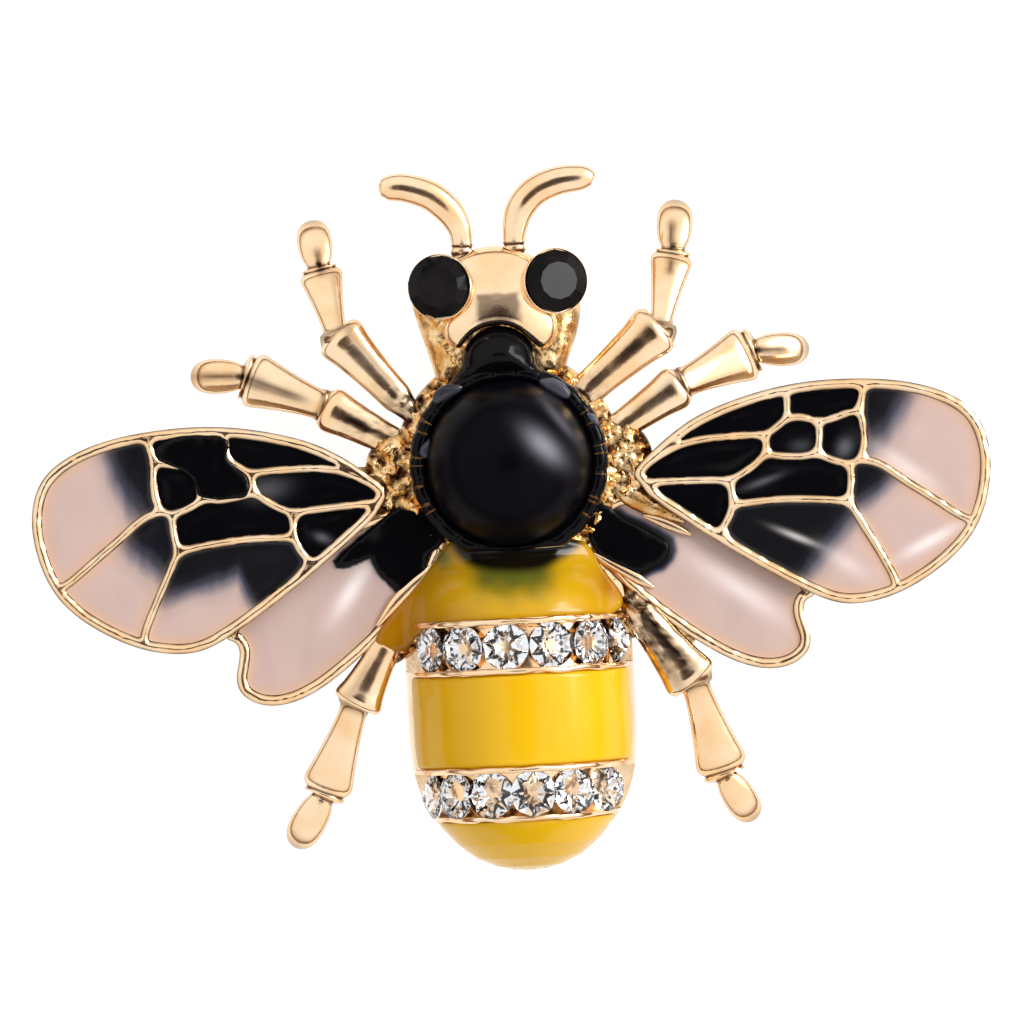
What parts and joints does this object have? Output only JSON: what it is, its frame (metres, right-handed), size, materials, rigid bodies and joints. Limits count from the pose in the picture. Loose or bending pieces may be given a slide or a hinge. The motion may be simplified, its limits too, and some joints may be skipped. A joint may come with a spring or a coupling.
{
  "type": "insect brooch",
  "caption": "Bee-shaped brooch: cast gold-coloured frame with enamel-filled wings, black pearl thorax, stone-set striped abdomen and a closed bar pin on its back.",
  "frame": {"origin": "middle of the whole brooch's box in X and Y, on the surface that it lies on", "axes": "+X towards the bee's right-hand wing in the picture, +Y towards the head, +Z out of the decorated face, away from the surface and the pin"},
  "size_m": [0.0481, 0.0352, 0.0108],
  "materials": {
    "gold": "bright rose-gold plating over cast alloy, orange-peel texture near the roots",
    "black_pearl": "polished black imitation pearl",
    "black_enamel": "glossy black epoxy enamel with slightly raised edges",
    "rose_enamel": "glossy pearly pink enamel that fades to black",
    "yellow_enamel": "thick glossy yellow epoxy enamel",
    "jet_glass": "cut opaque black glass",
    "clear_stone": "cut clear glass with a silvered back"
  },
  "bodies": {
    "root": {"casting": "gold", "pin_back": "gold", "thorax_pearl": "black_pearl", "collar_enamel": "black_enamel", "neck_enamel": "black_enamel", "eye_left": "jet_glass", "eye_right": "jet_glass", "shoulder_enamel": "yellow_enamel", "band_enamel": "yellow_enamel", "tail_enamel": "yellow_enamel", "stone_upper_1": "clear_stone", "stone_upper_2": "clear_stone", "stone_upper_3": "clear_stone", "stone_upper_4": "clear_stone", "stone_upper_5": "clear_stone", "stone_upper_6": "clear_stone", "stone_lower_1": "clear_stone", "stone_lower_2": "clear_stone", "stone_lower_3": "clear_stone", "stone_lower_4": "clear_stone", "stone_lower_5": "clear_stone", "stone_lower_6": "clear_stone", "fore_right_a": "black_enamel", "fore_right_b": "black_enamel", "fore_right_c": "black_enamel", "fore_right_d": "black_enamel", "fore_right_e": "black_enamel", "fore_right_f": "black_enamel", "fore_right_g": "black_enamel", "fore_right_h": "rose_enamel", "fore_right_i": "rose_enamel", "fore_right_j": "rose_enamel", "fore_left_a": "black_enamel", "fore_left_b": "black_enamel", "fore_left_c": "black_enamel", "fore_left_d": "black_enamel", "fore_left_e": "black_enamel", "fore_left_f": "black_enamel", "fore_left_g": "black_enamel", "fore_left_h": "rose_enamel", "fore_left_i": "rose_enamel", "fore_left_j": "rose_enamel", "hind_right_pane": "rose_enamel", "hind_right_root": "black_enamel", "hind_left_pane": "rose_enamel", "hind_left_root": "black_enamel"}
  },
  "joints": []
}
